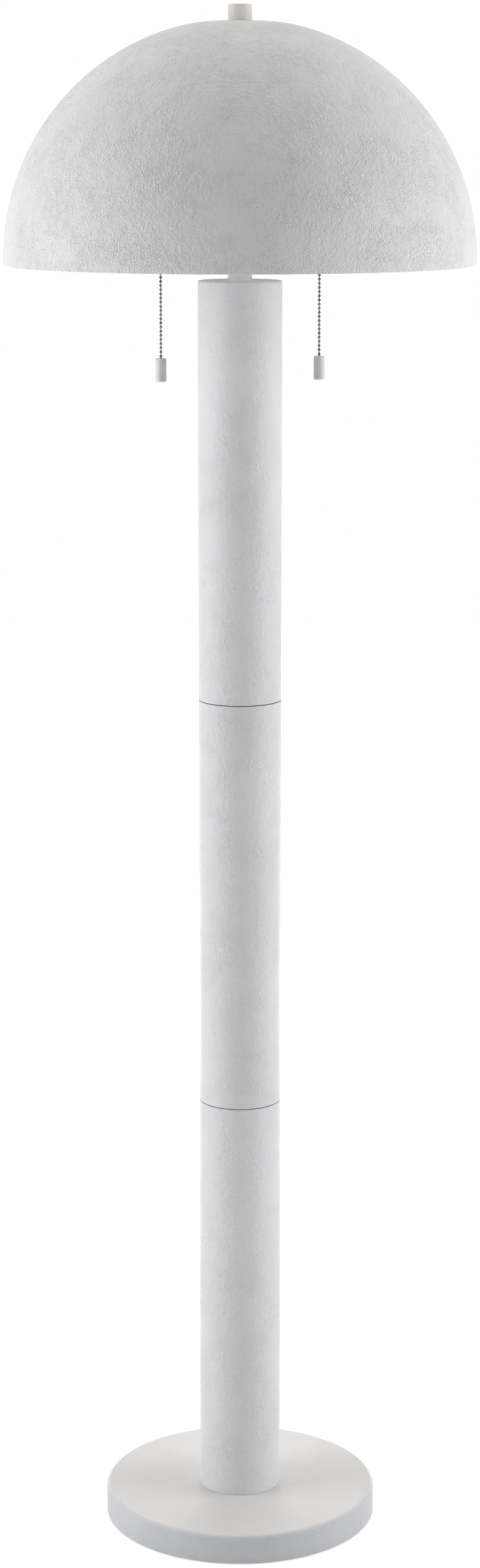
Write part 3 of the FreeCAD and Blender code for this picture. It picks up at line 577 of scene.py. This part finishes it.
def make_pull(side):
    """The moulded pull, hollow at the top for the chain's last bead."""
    name = f"{side}_pull"
    low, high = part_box(name)
    x = (low.x + high.x) / 2
    radius = 5.35 * MM
    mouth, mouth_depth = 1.25 * MM, 0.8 * MM
    cavity, cavity_depth = 2.0 * MM, 4.9 * MM
    outline = rounded([
        (0, low.z, 0),
        (radius, low.z, 0.8 * MM),
        (radius, high.z, 0.8 * MM),
        (mouth, high.z, 0.2 * MM),
        (mouth, high.z - mouth_depth, 0),
        (cavity, high.z - mouth_depth, 0),
        (cavity, high.z - cavity_depth, 0),
        (0, high.z - cavity_depth, 0),
    ])
    pull = lathe(name + "_moulding", spaced(outline, 1.5 * MM), 64,
                 turn=Matrix.Translation((x, 0, 0)))
    finished(pull, f"{side}_chain_pull", white_plastic, name)


# --- Sockets and bulbs ----------------------------------------------------------------------------

THREAD_PITCH = 25.4 / 7 * MM    # seven threads to the inch
THREAD_DEPTH = 0.75 * MM
THREAD_FADE = 2 * MM


def outwards(sign, level):
    """Turns local Z to point away from the column at the arm's level; local z is the reach."""
    return Matrix.Translation((0, 0, level)) @ Matrix.Rotation(math.pi / 2 * sign, 4, "Y")


def rolled_thread(start, end):
    """The lamp thread, pressed inwards between two reaches, fading at both."""
    def depth(z, angle):
        fade = min(1.0, max(0.0, (z - start) / THREAD_FADE), max(0.0, (end - z) / THREAD_FADE))
        wave = 0.5 - 0.5 * math.cos(2 * math.pi * (z / THREAD_PITCH - angle / (2 * math.pi)))
        return THREAD_DEPTH * fade * wave
    return depth


def reaches(name):
    """How near the column's axis a node starts, and how far from it the node ends."""
    low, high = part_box(name)
    return min(abs(low.x), abs(high.x)), max(abs(low.x), abs(high.x))


def make_screw_shell(side, aim):
    start, end = reaches(f"{side}_screw_shell")
    outer, wall = 13.6 * MM, 0.4 * MM
    outline = spaced(rounded([
        (outer - wall, start, 0), (outer, start, 0), (outer, end, 0.15 * MM),
        (outer - wall, end, 0.15 * MM)]), 0.5 * MM)
    thread = rolled_thread(start + 3 * MM, end - 1 * MM)
    shell = lathe(f"{side}_thread_shell", outline, 72, turn=aim, thread=thread)
    finished(shell, "stand", brass, f"{side}_screw_shell")


def make_bulb_base(side, aim):
    start, end = reaches(f"{side}_bulb_base")
    radius, wall, tip = 13 * MM, 0.6 * MM, 4 * MM
    taper = start + 5 * MM
    outline = spaced(rounded([
        (0, start, 0), (tip, start, 0), (radius - 0.6 * MM, taper - 1 * MM, 1.2 * MM),
        (radius, taper + 0.6 * MM, 1 * MM), (radius, end, 0.2 * MM), (radius - wall, end, 0.2 * MM),
        (radius - wall - 0.3 * MM, taper + 1.2 * MM, 0), (0, taper, 0)]), 0.5 * MM)
    outline = [(0.0 if r < 1e-6 else r, z) for r, z in outline]
    thread = rolled_thread(start + 7 * MM, end - 1 * MM)
    base = lathe(f"{side}_bulb_screw", outline, 72, turn=aim, thread=thread)
    finished(base, f"{side}_bulb", nickel, f"{side}_bulb_base")


def make_socket_shell(side, aim):
    """The spun sleeve, with a raised ring near its cap and a rolled mouth."""
    start, end = reaches(f"{side}_socket_shell")
    outer, wall, bead = 19.05 * MM, 0.6 * MM, 1.2 * MM
    inner = outer - wall
    ring = start + 14 * MM
    outline = spaced(rounded([
        (inner, start, 0), (outer, start, 0), (outer, ring - 1.6 * MM, 0.6 * MM),
        (outer + 0.7 * MM, ring, 0.8 * MM), (outer, ring + 1.6 * MM, 0.6 * MM),
        (outer, end - 2.6 * MM, 0.6 * MM), (outer + bead, end - 1.3 * MM, 0.6 * MM),
        (outer + bead, end, 0.3 * MM), (inner, end, 0.2 * MM)]), 1.2 * MM)
    sleeve = lathe(f"{side}_spun_shell", outline, 96, turn=aim)
    finished(sleeve, "stand", nickel, f"{side}_socket_shell")


def make_bulb_glass(side, aim):
    """A globe that flares in to a straight neck."""
    start, end = reaches(f"{side}_bulb_glass")
    radius, wall = 25 * MM, 0.8 * MM
    middle = end - radius
    neck_radius = 12.2 * MM
    neck_end = start + 19.7 * MM
    rise = middle - neck_end
    flare = (neck_radius ** 2 + rise ** 2 - radius ** 2) / (2 * (radius - neck_radius))
    lean = math.degrees(math.atan2(rise, neck_radius + flare))
    outline = [(neck_radius - wall, start), (neck_radius, start)]
    outline += arc(neck_radius + flare, neck_end, flare, 180, 180 - lean, 3)
    outline += arc(0, middle, radius, -lean, 90, 3)[1:-1] + [(0, end), (0, end - wall)]
    outline += arc(0, middle, radius - wall, 90, -lean, 3)[1:]
    outline += arc(neck_radius + flare, neck_end, flare + wall, 180 - lean, 180, 3)[1:]
    glass = lathe(f"{side}_bulb_envelope", outline, 96, turn=aim)
    finished(glass, f"{side}_bulb", opal, f"{side}_bulb_glass")


def make_socket(side, sign):
    low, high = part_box(f"{side}_screw_shell")
    aim = outwards(sign, (low.z + high.z) / 2)
    make_screw_shell(side, aim)
    make_bulb_base(side, aim)
    make_socket_shell(side, aim)
    make_bulb_glass(side, aim)


make_tubes()
make_collar()
make_base()
make_felt()
make_dome()
make_finial()
for side, sign in SIDES:
    make_chain_run(f"{side}_chain_top", f"{side}_chain_stem")
    make_chain_run(f"{side}_chain_sway", f"{side}_chain_neck")
    make_chain_run(f"{side}_chain_swing", f"{side}_chain_upper")
    make_chain_run(f"{side}_chain_lower", f"{side}_chain_lower")
    make_pull(side)
    make_socket(side, sign)


# --- Floor, lamps and camera ----------------------------------------------------------------------

def seen_ray(tree):
    """1 for rays that reach the eye straight, mirrored or through glass, and 0 for the light."""
    seen = tree.nodes.new("ShaderNodeLightPath")
    level = seen.outputs["Is Camera Ray"]
    for ray in ("Is Glossy Ray", "Is Transmission Ray"):
        joined = tree.nodes.new("ShaderNodeMath")
        joined.operation = "MAXIMUM"
        tree.links.new(level, joined.inputs[0])
        tree.links.new(seen.outputs[ray], joined.inputs[1])
        level = joined.outputs[0]
    return level


def make_floor():
    """A pale disc. Its glow for the eye grows outwards, so the shadow shows near the foot."""
    radius, depth = 6.0, 0.02
    floor = lathe("floor_disc", [(0, -depth), (radius, -depth), (radius, 0.0), (0.0, 0.0)], 96)
    f = Finish("pale_floor", base_color=(0.72, 0.72, 0.72, 1), roughness=0.9,
               emission_color=(1, 1, 1, 1))
    reach = f.add("ShaderNodeVectorMath", {0: f.place}, operation="LENGTH").outputs["Value"]
    glow = f.ranged(reach, 0.15, 1.6, 0.5, 1.0)
    f.set("Emission Strength", f.math("MULTIPLY", glow, seen_ray(f.tree)))
    for polygon in floor.data.polygons:
        polygon.use_smooth = False
    floor.data.materials.append(f.material)


def make_world(ambient):
    """An even surround: white to the eye, and at the ambient strength as light."""
    world = bpy.data.worlds.new("studio")
    bpy.context.scene.world = world
    world.use_nodes = True
    tree = world.node_tree
    back = tree.nodes["Background"]
    back.inputs["Color"].default_value = (1, 1, 1, 1)
    level = tree.nodes.new("ShaderNodeMapRange")
    level.inputs["To Min"].default_value = ambient
    level.inputs["To Max"].default_value = 1.0
    tree.links.new(seen_ray(tree), level.inputs["Value"])
    tree.links.new(level.outputs["Result"], back.inputs["Strength"])


def make_lamp(name, location, target, width, height, power, color=(1, 1, 1)):
    """A soft area lamp aimed at a target; sizes in metres, power in watts."""
    data = bpy.data.lights.new(name, "AREA")
    data.shape = "RECTANGLE"
    data.size = width
    data.size_y = height
    data.energy = power
    data.color = color
    lamp = bpy.data.objects.new(name, data)
    lamp.location = location
    lamp.rotation_euler = (Vector(target) - Vector(location)).to_track_quat("-Z", "Y").to_euler()
    bpy.context.scene.collection.objects.link(lamp)


make_floor()
make_world(0.43)
make_lamp("left_softbox", (-1.9, -0.28, 0.95), (0, 0, 0.75), 1.4, 2.2, 31)
make_lamp("right_softbox", (1.9, -0.18, 0.95), (0, 0, 0.75), 1.4, 2.2, 29)
make_lamp("low_rear_softbox", (0, 1.5, 0.12), (0, 0, 1.4), 1.6, 0.2, 28)
make_lamp("low_front_softbox", (0, -1.9, 0.12), (0, 0, 1.4), 1.6, 0.2, 1.5)
make_lamp("top_softbox", (0, 0.5, 3.0), (0, 0, 1.0), 1.6, 1.6, 12, (1.0, 0.985, 0.96))

CAMERA_PLACE = (0.0, -3.1013, 1.4013)
CAMERA_DIP = 9.98       # degrees below level
CAMERA_LENS = 72.96
CAMERA_SHIFT = -0.0576

camera_data = bpy.data.cameras.new("camera")
camera_data.lens = CAMERA_LENS
camera_data.sensor_width = 36.0
camera_data.shift_y = CAMERA_SHIFT
camera_data.clip_end = 50.0
camera = bpy.data.objects.new("camera", camera_data)
camera.location = CAMERA_PLACE
camera.rotation_euler = (math.radians(90 - CAMERA_DIP), 0.0, 0.0)
bpy.context.scene.collection.objects.link(camera)
bpy.context.scene.camera = camera
bpy.context.scene.view_settings.view_transform = "Standard"
